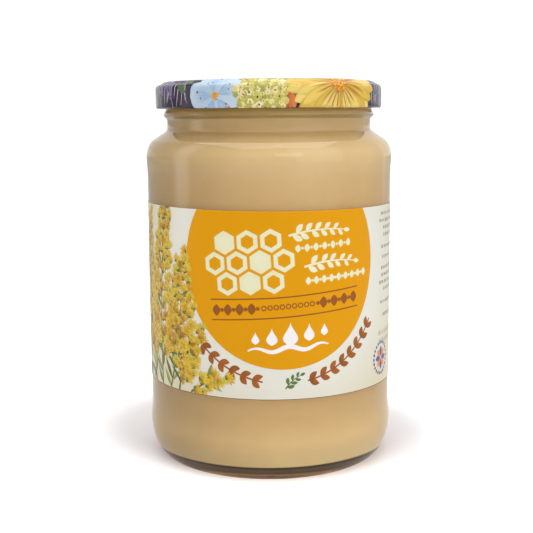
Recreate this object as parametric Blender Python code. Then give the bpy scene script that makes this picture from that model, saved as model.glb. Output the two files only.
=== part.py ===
# Shut glass honey jar: a clear twist-off jar full of creamed honey, with a paper label
# wrapped round its body and a thin metal lid. Metres, +Z up, standing on z = 0 about the Z axis,
# with the middle of the label's front towards -Y.

import math

import bmesh
import bpy
from mathutils import Matrix, Vector

MM = 0.001
SEGMENTS = 64
PIECE_GAP = 0.3 * MM
MERGE_DISTANCE = 0.00001
SHARP_ANGLE = math.radians(35)

# Outside of the glass, from the ground up
BEARING_INNER_RADIUS = 36.6 * MM
BEARING_OUTER_RADIUS = 39.2 * MM
PUSH_UP_HEIGHT = 2.4 * MM
HEEL_RADIUS = 47.14 * MM
HEEL_HEIGHT = 14.6 * MM
HEEL_BLEND_TOP = 21.5 * MM
PANEL_RADIUS = 46.6 * MM
SHOULDER_BLEND_BOTTOM = 109.0 * MM
SHOULDER_RADIUS = 46.9 * MM
SHOULDER_HEIGHT = 115.5 * MM
SHOULDER_ROUND = (4.2 * MM, 7.2 * MM)
SHOULDER_SLOPE = math.radians(32.6)
NECK_RADIUS = 38.85 * MM
NECK_FILLET = 1.9 * MM
BEAD_BOTTOM = 129.6 * MM
BEAD_HEIGHT = 131.5 * MM
BEAD_TOP = 133.4 * MM
BEAD_RADIUS = 40.1 * MM
FINISH_RADIUS = 39.3 * MM
RIM_ROUND = (2.2 * MM, 2.6 * MM)
RIM_HEIGHT = 143.2 * MM
RIM_INNER_ROUND = 0.9 * MM

# Inside of the glass
MOUTH_RADIUS = 35.2 * MM
MOUTH_FILLET = 3.5 * MM
INNER_SLOPE = math.radians(35.0)
INNER_SHOULDER_HEIGHT = 112.5 * MM
INNER_SHOULDER_ROUND = (3.6 * MM, 7.4 * MM)
WALL_THICKNESS = 2.6 * MM
INNER_HEEL_HEIGHT = 16.0 * MM
INNER_FLOOR_RADIUS = 34.5 * MM
INNER_FLOOR_HEIGHT = 5.0 * MM
INNER_FLOOR_RISE = 1.4 * MM

# Honey
HONEY_LEVEL = 134.6 * MM

# Label
LABEL_BOTTOM = 31.6 * MM
LABEL_TOP = 98.5 * MM
LABEL_SEAM_SEGMENTS = 2
LABEL_INNER_RADIUS = PANEL_RADIUS + 0.27 * MM
LABEL_OUTER_RADIUS = HEEL_RADIUS

# Lid
LID_RADIUS = 42.8 * MM
LID_BOTTOM = 133.8 * MM
LID_TOP = 144.1 * MM
LID_SHEET = 0.4 * MM
LID_CURL_RADIUS = 0.7 * MM
LID_CORNER_ROUND = (1.5 * MM, 1.6 * MM)
LID_CORNER_DROP = 0.15 * MM
LID_CREST_DROP = 0.1 * MM
LID_RISER_FOOT = (41.0 * MM, 142.65 * MM)
LID_RISER_HEAD = (39.4 * MM, 143.7 * MM)
LID_CREST_RADIUS = 36.8 * MM
LID_PANEL_STEP_RADIUS = 34.6 * MM
LID_PANEL_RADIUS = 33.2 * MM
LID_PANEL_DEPTH = 0.8 * MM


def ellipse_arc(center, radii, start_degrees, end_degrees, steps):
    """Points (radius, height) along an upright ellipse, both ends included."""
    points = []
    for i in range(steps + 1):
        angle = math.radians(start_degrees + (end_degrees - start_degrees) * i / steps)
        points.append((center[0] + radii[0] * math.cos(angle), center[1] + radii[1] * math.sin(angle)))
    return points


def smooth_step(start, end, steps):
    """Points of an S-shaped blend between two heights of the wall, without its first point."""
    points = []
    for i in range(1, steps + 1):
        share = i / steps
        ease = 0.5 - 0.5 * math.cos(math.pi * share)
        radius = start[0] + (end[0] - start[0]) * ease
        points.append((radius, start[1] + (end[1] - start[1]) * share))
    return points


def shoulder_line(bulge_radius, bulge_height, rounding, slope, neck_radius, fillet, steps):
    """A shoulder from its bulge up to the neck: a rounded corner, a straight slope and a hollow fillet."""
    corner = (bulge_radius - rounding[0], bulge_height)
    turn = math.degrees(math.atan(rounding[1] / (rounding[0] * math.tan(slope))))
    points = ellipse_arc(corner, rounding, 0.0, turn, steps)
    fillet_turn = 90.0 - math.degrees(slope)
    foot_radius = neck_radius + fillet * (1.0 - math.cos(math.radians(fillet_turn)))
    foot_height = points[-1][1] + (points[-1][0] - foot_radius) * math.tan(slope)
    middle_height = foot_height + fillet * math.sin(math.radians(fillet_turn))
    middle = (neck_radius + fillet, middle_height)
    return points + ellipse_arc(middle, (fillet, fillet), 180.0 + fillet_turn, 180.0, max(3, steps // 2))


def outside_of_glass():
    """The outer wall, from the rim's edge down to the middle of the base."""
    line = ellipse_arc((BEARING_OUTER_RADIUS, HEEL_HEIGHT),
                       (HEEL_RADIUS - BEARING_OUTER_RADIUS, HEEL_HEIGHT), -90.0, 0.0, 6)
    line += smooth_step((HEEL_RADIUS, HEEL_HEIGHT), (PANEL_RADIUS, HEEL_BLEND_TOP), 3)
    line.append((PANEL_RADIUS, SHOULDER_BLEND_BOTTOM))
    line += smooth_step((PANEL_RADIUS, SHOULDER_BLEND_BOTTOM), (SHOULDER_RADIUS, SHOULDER_HEIGHT), 2)
    line += shoulder_line(SHOULDER_RADIUS, SHOULDER_HEIGHT, SHOULDER_ROUND, SHOULDER_SLOPE,
                          NECK_RADIUS, NECK_FILLET, 6)[1:]
    line.append((NECK_RADIUS, BEAD_BOTTOM))
    line += smooth_step((NECK_RADIUS, BEAD_BOTTOM), (BEAD_RADIUS, BEAD_HEIGHT), 3)
    line += smooth_step((BEAD_RADIUS, BEAD_HEIGHT), (FINISH_RADIUS, BEAD_TOP), 3)
    line.reverse()
    push_up = ellipse_arc((0.0, 0.0), (BEARING_INNER_RADIUS, PUSH_UP_HEIGHT), 0.0, 90.0, 4)
    return line + push_up[:-1] + [(0.0, PUSH_UP_HEIGHT)]


def inside_of_glass(gap):
    """The inner wall, from the middle of the floor up to the mouth, moved in from the glass by a gap."""
    wall = PANEL_RADIUS - WALL_THICKNESS - gap
    floor = INNER_FLOOR_HEIGHT + gap
    line = [(0.0, floor + INNER_FLOOR_RISE)]
    line.append((0.5 * INNER_FLOOR_RADIUS, floor + 0.7 * INNER_FLOOR_RISE))
    line += ellipse_arc((INNER_FLOOR_RADIUS, INNER_HEEL_HEIGHT),
                        (wall - INNER_FLOOR_RADIUS, INNER_HEEL_HEIGHT - floor), -90.0, 0.0, 5)
    line += shoulder_line(wall, INNER_SHOULDER_HEIGHT - gap, INNER_SHOULDER_ROUND, INNER_SLOPE,
                          MOUTH_RADIUS - gap, MOUTH_FILLET, 5)
    return line


def rim_of_glass():
    """The rounded rim, from the mouth's inner edge over the top to the outer edge."""
    inner = (MOUTH_RADIUS + RIM_INNER_ROUND, RIM_HEIGHT - RIM_INNER_ROUND)
    outer = (FINISH_RADIUS - RIM_ROUND[0], RIM_HEIGHT - RIM_ROUND[1])
    line = ellipse_arc(inner, (RIM_INNER_ROUND, RIM_INNER_ROUND), 180.0, 90.0, 2)
    return line + ellipse_arc(outer, RIM_ROUND, 90.0, 0.0, 3)


def lid_top_line():
    """The lid's outer side, from the middle of its panel to the foot of the skirt's straight part."""
    corner_height = LID_RISER_FOOT[1] - LID_CORNER_ROUND[1] - LID_CORNER_DROP
    corner = (LID_RADIUS - LID_CORNER_ROUND[0], corner_height)
    line = [(0.0, LID_TOP - LID_PANEL_DEPTH), (LID_PANEL_RADIUS, LID_TOP - LID_PANEL_DEPTH)]
    line.append((0.5 * (LID_PANEL_RADIUS + LID_PANEL_STEP_RADIUS), LID_TOP - 0.5 * LID_PANEL_DEPTH))
    line += [(LID_PANEL_STEP_RADIUS, LID_TOP), (LID_CREST_RADIUS, LID_TOP)]
    line.append((0.4 * LID_CREST_RADIUS + 0.6 * LID_RISER_HEAD[0], LID_TOP - LID_CREST_DROP))
    line += [LID_RISER_HEAD, LID_RISER_FOOT]
    line += ellipse_arc(corner, LID_CORNER_ROUND, 70.0, 0.0, 3)
    line.append((LID_RADIUS, LID_BOTTOM + 2.6 * LID_CURL_RADIUS))
    return line


def moved_in(line, distance):
    """The line moved square to itself, towards the inside of the lid."""
    moved = []
    for i, (radius, height) in enumerate(line):
        before = Vector(line[max(i - 1, 0)])
        after = Vector(line[min(i + 1, len(line) - 1)])
        along = (after - before).normalized()
        moved.append((max(radius + along.y * distance, 0.0), height - along.x * distance))
    return moved


def section_of_lid():
    """The lid's sheet with the rolled edge under its skirt, as one closed run from axis to axis."""
    top = lid_top_line()
    under = moved_in(top, LID_SHEET)
    under[0] = (0.0, top[0][1] - LID_SHEET)
    roll_center = (LID_RADIUS - LID_CURL_RADIUS, LID_BOTTOM + LID_CURL_RADIUS)
    roll = ellipse_arc(roll_center, (LID_CURL_RADIUS, LID_CURL_RADIUS), 0.0, -215.0, 6)
    under.reverse()
    return top + roll + under


def finish(name, color, roughness, metallic=0.0, alpha=1.0):
    """A plain material with one colour and one gloss."""
    material = bpy.data.materials.new(name)
    material.use_nodes = True
    shader = material.node_tree.nodes["Principled BSDF"]
    shader.inputs["Base Color"].default_value = (*color, 1.0)
    shader.inputs["Roughness"].default_value = roughness
    shader.inputs["Metallic"].default_value = metallic
    shader.inputs["Alpha"].default_value = alpha
    material.diffuse_color = (*color, alpha)
    return material


def add_object(name, mesh, material, parent):
    """One sub-part, linked to the scene under the jar's empty."""
    item = bpy.data.objects.new(name, mesh)
    bpy.context.scene.collection.objects.link(item)
    item.parent = parent
    mesh.materials.append(material)
    return item


def turned(name, line, material, parent):
    """A solid turned about the Z axis from a half section that runs down its outer side."""
    mesh = bpy.data.meshes.new(name)
    edges = [(i, i + 1) for i in range(len(line) - 1)]
    mesh.from_pydata([(radius, 0.0, height) for radius, height in line], edges, [])
    item = add_object(name, mesh, material, parent)
    screw = item.modifiers.new("Turn", "SCREW")
    screw.axis = "Z"
    screw.angle = 2.0 * math.pi
    screw.steps = SEGMENTS
    screw.render_steps = SEGMENTS
    screw.use_merge_vertices = True
    screw.merge_threshold = MERGE_DISTANCE
    screw.use_smooth_shade = True
    return item


def wrapped(name, material, parent):
    """A thin sheet bent round the body, open for a few facets at the back."""
    step = 2.0 * math.pi / SEGMENTS
    start = Matrix.Rotation(0.5 * math.pi + 0.5 * LABEL_SEAM_SEGMENTS * step, 3, "Z")
    corners = [(LABEL_INNER_RADIUS, LABEL_BOTTOM), (LABEL_OUTER_RADIUS, LABEL_BOTTOM),
               (LABEL_OUTER_RADIUS, LABEL_TOP), (LABEL_INNER_RADIUS, LABEL_TOP)]
    sheet = bmesh.new()
    edge = [sheet.verts.new(start @ Vector((radius, 0.0, height))) for radius, height in corners]
    end_face = sheet.faces.new(edge)
    bmesh.ops.spin(sheet, geom=[end_face], axis=(0.0, 0.0, 1.0), cent=(0.0, 0.0, 0.0),
                   angle=(SEGMENTS - LABEL_SEAM_SEGMENTS) * step,
                   steps=SEGMENTS - LABEL_SEAM_SEGMENTS, use_duplicate=False)
    bmesh.ops.recalc_face_normals(sheet, faces=sheet.faces)
    mesh = bpy.data.meshes.new(name)
    sheet.to_mesh(mesh)
    sheet.free()
    mesh.shade_smooth()
    mesh.set_sharp_from_angle(angle=SHARP_ANGLE)
    return add_object(name, mesh, material, parent)


def build_jar():
    """The four pieces: glass, honey, label and lid."""
    for item in list(bpy.data.objects):
        bpy.data.objects.remove(item, do_unlink=True)
    origin = bpy.data.objects.new("honey_jar", None)
    bpy.context.scene.collection.objects.link(origin)

    glass = finish("clear_glass", (0.80, 0.86, 0.82), 0.04, alpha=0.35)
    honey = finish("creamed_honey", (0.58, 0.38, 0.16), 0.35)
    paper = finish("printed_paper", (0.84, 0.83, 0.70), 0.45)
    enamel = finish("printed_lid_enamel", (0.10, 0.06, 0.13), 0.28)

    turned("glass_jar", inside_of_glass(0.0) + rim_of_glass() + outside_of_glass(), glass, origin)
    fill = inside_of_glass(PIECE_GAP)
    fill.append((MOUTH_RADIUS - PIECE_GAP, HONEY_LEVEL))
    fill.append((0.0, HONEY_LEVEL))
    fill.reverse()
    turned("creamed_honey", fill, honey, origin)
    wrapped("paper_label", paper, origin)
    turned("lid", section_of_lid(), enamel, origin)


build_jar()
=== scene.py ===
import math
import random

import bmesh
import bpy
import numpy as np
from mathutils import Matrix, Vector


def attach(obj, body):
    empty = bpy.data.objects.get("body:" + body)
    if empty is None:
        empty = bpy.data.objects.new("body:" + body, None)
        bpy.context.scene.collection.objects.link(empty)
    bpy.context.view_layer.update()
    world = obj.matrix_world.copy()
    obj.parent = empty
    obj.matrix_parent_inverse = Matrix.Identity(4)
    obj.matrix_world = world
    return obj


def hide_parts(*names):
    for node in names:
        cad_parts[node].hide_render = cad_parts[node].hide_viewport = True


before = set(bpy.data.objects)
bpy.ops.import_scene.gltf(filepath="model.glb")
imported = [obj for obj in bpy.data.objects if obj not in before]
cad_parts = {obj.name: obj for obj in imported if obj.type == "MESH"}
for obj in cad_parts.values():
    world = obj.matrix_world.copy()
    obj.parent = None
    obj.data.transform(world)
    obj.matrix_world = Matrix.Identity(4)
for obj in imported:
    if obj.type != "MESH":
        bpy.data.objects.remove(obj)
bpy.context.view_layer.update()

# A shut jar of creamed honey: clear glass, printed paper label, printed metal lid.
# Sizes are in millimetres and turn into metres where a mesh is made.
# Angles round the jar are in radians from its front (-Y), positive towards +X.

mm = 0.001


# helpers for lines, meshes and nodes

def ellipseArc(center, radii, startDegrees, endDegrees, steps):
    points = []
    for i in range(steps + 1):
        angle = math.radians(startDegrees + (endDegrees - startDegrees) * i / steps)
        points.append((center[0] + radii[0] * math.cos(angle), center[1] + radii[1] * math.sin(angle)))
    return points


def easeLine(start, end, steps):
    # S-shaped blend between two heights of a wall, without its first point
    points = []
    for i in range(1, steps + 1):
        share = i / steps
        ease = 0.5 - 0.5 * math.cos(math.pi * share)
        points.append((start[0] + (end[0] - start[0]) * ease, start[1] + (end[1] - start[1]) * share))
    return points


def shoulderLine(bulge, rounding, slopeDegrees, neckRadius, fillet, steps):
    # rounded corner, straight slope, hollow fillet
    slope = math.radians(slopeDegrees)
    turn = math.degrees(math.atan(rounding[1] / (rounding[0] * math.tan(slope))))
    points = ellipseArc((bulge[0] - rounding[0], bulge[1]), rounding, 0.0, turn, steps)
    filletTurn = 90.0 - slopeDegrees
    footRadius = neckRadius + fillet * (1.0 - math.cos(math.radians(filletTurn)))
    footHeight = points[-1][1] + (points[-1][0] - footRadius) * math.tan(slope)
    middle = (neckRadius + fillet, footHeight + fillet * math.sin(math.radians(filletTurn)))
    return points + ellipseArc(middle, (fillet, fillet), 180.0 + filletTurn, 180.0, steps)


def addPiece(name, mesh, material, replaced=None):
    # links a piece, gives it its material and lets it ride on the jar
    piece = bpy.data.objects.new(name, mesh)
    bpy.context.scene.collection.objects.link(piece)
    mesh.materials.append(material)
    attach(piece, "root")
    if replaced:
        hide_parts(replaced)
    return piece


def turnedMesh(name, line, steps, sharpDegrees=40):
    # a solid turned about Z from a section that starts and ends on the axis
    solid = bmesh.new()
    rings = []
    for radius, height in line:
        if radius < 0.001:
            rings.append([solid.verts.new((0.0, 0.0, height * mm))])
            continue
        ring = []
        for k in range(steps):
            angle = 2.0 * math.pi * k / steps
            ring.append(solid.verts.new((radius * math.sin(angle) * mm, -radius * math.cos(angle) * mm,
                                         height * mm)))
        rings.append(ring)
    for lower, upper in zip(rings, rings[1:]):
        for k in range(steps):
            corners = [lower[k % len(lower)], lower[(k + 1) % len(lower)],
                       upper[(k + 1) % len(upper)], upper[k % len(upper)]]
            solid.faces.new(list(dict.fromkeys(corners)))
    bmesh.ops.recalc_face_normals(solid, faces=solid.faces)
    mesh = bpy.data.meshes.new(name)
    solid.to_mesh(mesh)
    solid.free()
    mesh.shade_smooth()
    mesh.set_sharp_from_angle(angle=math.radians(sharpDegrees))
    return mesh


def newMaterial(name):
    material = bpy.data.materials.new(name)
    material.use_nodes = True
    tree = material.node_tree
    return material, tree, tree.nodes["Principled BSDF"]


def feed(tree, socket, value):
    # value is a fixed one or the output of another node
    if isinstance(value, bpy.types.NodeSocket):
        tree.links.new(value, socket)
    else:
        socket.default_value = value


def addNode(tree, kind, place, values=None, **settings):
    node = tree.nodes.new(kind)
    node.location = place
    for key, value in settings.items():
        setattr(node, key, value)
    for key, value in (values or {}).items():
        feed(tree, node.inputs[key], value)
    return node


# each of these adds one node and returns its result

def calculate(tree, operation, place, *values):
    return addNode(tree, "ShaderNodeMath", place, dict(enumerate(values)), operation=operation).outputs[0]


def mapRange(tree, place, value, source, target=(0.0, 1.0), **settings):
    return addNode(tree, "ShaderNodeMapRange", place,
                   {"Value": value, "From Min": source[0], "From Max": source[1],
                    "To Min": target[0], "To Max": target[1]}, **settings).outputs[0]


def scaleColor(tree, place, color, scale):
    return addNode(tree, "ShaderNodeVectorMath", place, {0: color, "Scale": scale},
                   operation="SCALE").outputs[0]


def addNoise(tree, place, values):
    return addNode(tree, "ShaderNodeTexNoise", place, values).outputs["Fac"]


def colorMix(tree, place, factor, first, second, blend="MIX"):
    return addNode(tree, "ShaderNodeMix", place, {0: factor, 6: first, 7: second},
                   data_type="RGBA", blend_type=blend).outputs[2]


def linear(red, green, blue):
    # screen color 0-255 to the linear color that a shader takes
    result = []
    for value in (red, green, blue):
        share = value / 255.0
        result.append(share / 12.92 if share <= 0.04045 else ((share + 0.055) / 1.055) ** 2.4)
    return (*result, 1.0)


def addRamp(tree, place, factor, stops):
    # stops are places from 0 to 1 with the linear color there
    node = addNode(tree, "ShaderNodeValToRGB", place, {"Fac": factor})
    elements = node.color_ramp.elements
    while len(elements) < len(stops):
        elements.new(0.5)
    for element, (position, color) in zip(elements, stops):
        element.position = position
    for element, (position, color) in zip(elements, stops):
        element.color = color
    return node.outputs["Color"]


def newGroup(name, inputs, outputs):
    # returns the group, the sockets that it is given and those of its result
    group = bpy.data.node_groups.new(name, "ShaderNodeTree")
    for label, kind, value in inputs:
        socket = group.interface.new_socket(name=label, in_out="INPUT", socket_type=kind)
        socket.default_value = value
    for label, kind in outputs:
        group.interface.new_socket(name=label, in_out="OUTPUT", socket_type=kind)
    entry = addNode(group, "NodeGroupInput", (-800, 0))
    leave = addNode(group, "NodeGroupOutput", (600, 0))
    return group, entry.outputs, leave.inputs


def useGroup(tree, group, place, values):
    return addNode(tree, "ShaderNodeGroup", place, values, node_tree=group).outputs[0]


# effects that several materials share

def makeInkMottle():
    # ink that lies a little thicker and thinner, in soft patches and fine speckle
    group, given, result = newGroup(
        "inkMottle",
        [("Ink", "NodeSocketColor", (0.5, 0.5, 0.5, 1.0)), ("Depth", "NodeSocketFloat", 0.1),
         ("Patch Size", "NodeSocketFloat", 90.0), ("Speckle Size", "NodeSocketFloat", 1400.0)],
        [("Color", "NodeSocketColor")])
    where = addNode(group, "ShaderNodeTexCoord", (-800, 300)).outputs["Object"]
    patches = addNoise(group, (-560, 300), {"Vector": where, "Scale": given["Patch Size"],
                                            "Detail": 3.0, "Roughness": 0.55})
    speckle = addNoise(group, (-560, 60), {"Vector": where, "Scale": given["Speckle Size"],
                                           "Detail": 1.0, "Roughness": 0.5})
    both = calculate(group, "MULTIPLY_ADD", (-340, 200), speckle, 0.6, patches)
    centered = calculate(group, "SUBTRACT", (-160, 200), both, 0.8)
    strength = calculate(group, "MULTIPLY", (0, 200), centered, given["Depth"])
    gain = calculate(group, "ADD", (160, 200), strength, 1.0)
    feed(group, result["Color"], scaleColor(group, (360, 60), given["Ink"], gain))
    return group


def makeHandlingMarks():
    # faint smears that make a glossy surface a little duller here and there
    group, given, result = newGroup(
        "handlingMarks",
        [("Gloss", "NodeSocketFloat", 0.1), ("Amount", "NodeSocketFloat", 0.1),
         ("Size", "NodeSocketFloat", 30.0)],
        [("Roughness", "NodeSocketFloat")])
    where = addNode(group, "ShaderNodeTexCoord", (-800, 300)).outputs["Object"]
    stretch = addNode(group, "ShaderNodeMapping", (-620, 300), {"Vector": where, "Scale": (1.0, 1.0, 0.45)})
    smear = addNoise(group, (-420, 300), {"Vector": stretch.outputs[0], "Scale": given["Size"],
                                          "Detail": 5.0, "Roughness": 0.6, "Distortion": 0.8})
    keep = mapRange(group, (-200, 300), smear, (0.48, 0.75))
    duller = calculate(group, "MULTIPLY", (20, 240), keep, given["Amount"])
    feed(group, result["Roughness"], calculate(group, "ADD", (220, 200), duller, given["Gloss"]))
    return group


def makeFineGrain():
    # small unevenness as a height, for paper, enamel and honey
    group, given, result = newGroup(
        "fineGrain",
        [("Size", "NodeSocketFloat", 600.0), ("Coarse Share", "NodeSocketFloat", 0.3)],
        [("Height", "NodeSocketFloat")])
    where = addNode(group, "ShaderNodeTexCoord", (-800, 300)).outputs["Object"]
    fine = addNoise(group, (-520, 300), {"Vector": where, "Scale": given["Size"],
                                         "Detail": 4.0, "Roughness": 0.6})
    coarseSize = calculate(group, "MULTIPLY", (-640, 60), given["Size"], 0.12)
    coarse = addNoise(group, (-460, 60), {"Vector": where, "Scale": coarseSize, "Detail": 2.0})
    weighed = calculate(group, "MULTIPLY", (-240, 60), coarse, given["Coarse Share"])
    feed(group, result["Height"], calculate(group, "ADD", (0, 200), fine, weighed))
    return group


inkMottle = makeInkMottle()
handlingMarks = makeHandlingMarks()
fineGrain = makeFineGrain()
print("shared effects ready")


def addMottle(tree, shader, place, ink, depth, patchSize, speckleSize):
    # the shared mottle over a color, as the shader's own color
    mottle = useGroup(tree, inkMottle, place, {"Ink": ink, "Depth": depth, "Patch Size": patchSize,
                                               "Speckle Size": speckleSize})
    feed(tree, shader.inputs["Base Color"], mottle)


def addGrain(tree, shader, size, coarse, strength, distance):
    # the shared grain through a bump
    grain = useGroup(tree, fineGrain, (-520, -320), {"Size": size, "Coarse Share": coarse})
    bump = addNode(tree, "ShaderNodeBump", (-260, -320),
                   {"Height": grain, "Strength": strength, "Distance": distance})
    feed(tree, shader.inputs["Normal"], bump.outputs["Normal"])


def addMarks(tree, shader, gloss, amount, size):
    # the shared smears as the shader's roughness
    marks = useGroup(tree, handlingMarks, (-520, -100), {"Gloss": gloss, "Amount": amount, "Size": size})
    feed(tree, shader.inputs["Roughness"], marks)


# glass jar

glassJar = {
    "turnSteps": 192,
    "bearing": (36.6, 39.2),      # inner and outer radius of the ring that it stands on
    "pushUp": 2.4,
    "heel": (47.14, 14.6),        # radius and height
    "heelBlendTop": 21.5,
    "panelRadius": 46.6,
    "shoulderBlendBottom": 109.0,
    "shoulder": (46.9, 115.5),
    "shoulderRound": (4.2, 7.2),
    "shoulderSlope": 32.6,
    "neckRadius": 38.85,
    "neckFillet": 1.9,
    "bead": (129.6, 131.5, 133.4, 40.1),     # bottom, middle, top, radius
    "finishRadius": 39.3,
    "rim": (143.2, 2.2, 2.6, 0.9),           # height, outer rounding across and down, inner rounding
    "mouthRadius": 35.2,
    "mouthFillet": 3.5,
    "innerSlope": 35.0,
    "innerShoulderHeight": 112.5,
    "innerShoulderRound": (3.6, 7.4),
    "wall": 2.6,
    "innerHeelHeight": 16.0,
    "innerFloor": (34.5, 5.0, 1.4),          # radius, height, rise towards the middle
    "tint": (0.965, 0.985, 0.975),
    "gloss": 0.05,
}


def glassOutside(jar):
    heelRadius, heelHeight = jar["heel"]
    standRadius = jar["bearing"][1]
    line = ellipseArc((standRadius, heelHeight), (heelRadius - standRadius, heelHeight), -90.0, 0.0, 24)
    line += easeLine((heelRadius, heelHeight), (jar["panelRadius"], jar["heelBlendTop"]), 8)
    bottom = (jar["panelRadius"], jar["shoulderBlendBottom"])
    line.append(bottom)
    line += easeLine(bottom, jar["shoulder"], 8)
    line += shoulderLine(jar["shoulder"], jar["shoulderRound"], jar["shoulderSlope"],
                         jar["neckRadius"], jar["neckFillet"], 16)[1:]
    beadBottom, beadMiddle, beadTop, beadRadius = jar["bead"]
    line.append((jar["neckRadius"], beadBottom))
    line += easeLine((jar["neckRadius"], beadBottom), (beadRadius, beadMiddle), 8)
    line += easeLine((beadRadius, beadMiddle), (jar["finishRadius"], beadTop), 8)
    line.reverse()
    pushUp = ellipseArc((0.0, 0.0), (jar["bearing"][0], jar["pushUp"]), 0.0, 90.0, 12)
    return line + pushUp[:-1] + [(0.0, jar["pushUp"])]


def glassInside(jar, reach=0.0):
    # reach moves the line out into the wall
    wall = jar["panelRadius"] - jar["wall"] + reach
    floorRadius, floorHeight, rise = jar["innerFloor"]
    floorHeight -= reach
    line = [(0.0, floorHeight + rise)]
    for i in range(1, 8):
        share = i / 8
        line.append((share * floorRadius, floorHeight + rise * (1.0 - share * share)))
    heelHeight = jar["innerHeelHeight"]
    line += ellipseArc((floorRadius, heelHeight), (wall - floorRadius, heelHeight - floorHeight),
                       -90.0, 0.0, 18)
    line += shoulderLine((wall, jar["innerShoulderHeight"] + reach), jar["innerShoulderRound"],
                         jar["innerSlope"], jar["mouthRadius"] + reach, jar["mouthFillet"], 16)
    return line


def glassRim(jar):
    height, across, down, inner = jar["rim"]
    line = ellipseArc((jar["mouthRadius"] + inner, height - inner), (inner, inner), 180.0, 90.0, 6)
    return line + ellipseArc((jar["finishRadius"] - across, height - down), (across, down), 90.0, 0.0, 8)


def clearGlass():
    material, tree, shader = newMaterial("clearGlass")
    shader.inputs["Base Color"].default_value = (*glassJar["tint"], 1.0)
    shader.inputs["Transmission Weight"].default_value = 1.0
    shader.inputs["IOR"].default_value = 1.5
    addMarks(tree, shader, glassJar["gloss"], 0.05, 26.0)
    path = addNode(tree, "ShaderNodeLightPath", (0, 320))
    clear = addNode(tree, "ShaderNodeBsdfTransparent", (0, -520))
    mix = addNode(tree, "ShaderNodeMixShader", (320, 60),
                  {0: path.outputs["Is Shadow Ray"], 1: shader.outputs[0], 2: clear.outputs[0]})
    feed(tree, tree.nodes["Material Output"].inputs["Surface"], mix.outputs[0])
    return material


glassLine = glassInside(glassJar) + glassRim(glassJar) + glassOutside(glassJar)
addPiece("glassJar", turnedMesh("glassJar", glassLine, glassJar["turnSteps"]),
         clearGlass(), "glass_jar")
print("glass jar ready")


# honey

honey = {
    "reach": 0.15,                 # how far it reaches into the wall, so that no air shows
    "level": 134.6,
    "color": (230, 189, 124),
    "light": (238, 200, 138),
    # painted light and shade: height in mm and what the color is multiplied by there, paler low down and at
    # the neck, bright and dark bands at the bead, deep under the lid
    "paintedLightAndShadeAt": ((5.8, (1.22, 1.48, 1.75)), (12.0, (1.20, 1.30, 1.42)), (24.0, (0.99, 1.01, 1.00)),
               (32.0, (0.96, 0.97, 0.97)), (60.0, (1.0, 1.0, 1.0)), (96.0, (1.0, 1.0, 0.98)),
               (112.0, (1.05, 1.15, 1.37)), (117.0, (1.04, 1.15, 1.38)), (121.0, (1.13, 1.23, 1.43)),
               (129.4, (1.34, 1.49, 1.70)), (130.75, (1.38, 1.54, 1.80)), (131.05, (1.42, 1.48, 1.52)),
               (131.3, (1.42, 1.48, 1.48)), (131.7, (1.04, 1.08, 0.98)), (133.2, (1.04, 1.08, 0.90)),
               (133.9, (0.78, 0.62, 0.28))),
    "leftShade": 0.60,             # painted shade: the left side is darker
    "leftFade": (-50.0, -2.0),
    # painted shade on the right side too
    "rightShade": 0.86,
    "rightFade": (28.0, 48.0),
    "edgeRound": (0.8, 0.6),
    "dip": ((0.0, 4.3), (12.0, 4.2), (24.0, 3.8), (33.0, 3.25), (34.8, 3.3), (36.2, 4.2)),
    "dipHeel": 23.0,               # degrees of the heel's curve that the dip takes up
    "underside": (214, 172, 122),
    # painted shade on the side of the dip in the thick base
    "dipSideShade": (98, 80, 50),
    "shadeLine": (52, 36, 16),          # painted shade: thin dark line where the honey ends
    "shadeLineHeights": (4.8, 5.1),
    "shadeHeights": (3.35, 3.6, 5.55, 5.85),
    "roughness": 0.45,
}


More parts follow.
